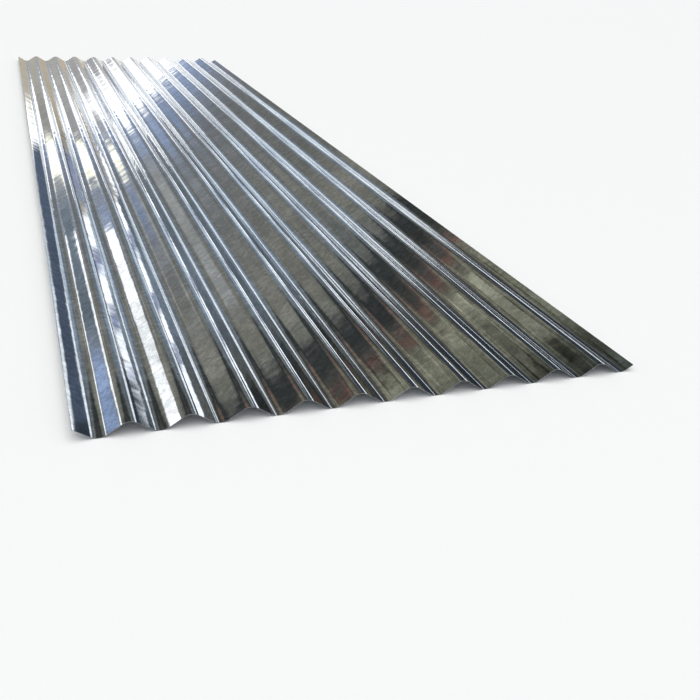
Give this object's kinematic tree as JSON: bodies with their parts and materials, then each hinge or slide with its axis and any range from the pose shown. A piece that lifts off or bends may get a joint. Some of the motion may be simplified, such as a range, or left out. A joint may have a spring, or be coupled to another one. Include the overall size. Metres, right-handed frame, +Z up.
{
  "type": "corrugated metal sheet",
  "caption": "Galvanised steel roofing sheet with rounded waves along its length, one side edge cut just inside a crest and the other just past a valley for lapping.",
  "frame": {"origin": "on the floor, below the middle of the sheet, in the plane that the valleys rest on", "axes": "+Y along the waves, +X across them from the side edge cut at a crest to the side edge cut past a valley, +Z up through the thickness"},
  "size_m": [0.8138, 3.048, 0.0185],
  "materials": {
    "galvanised_steel": "bright hot-dip zinc, rolled smooth"
  },
  "bodies": {
    "root": {"corrugated_sheet": "galvanised_steel"}
  },
  "joints": []
}
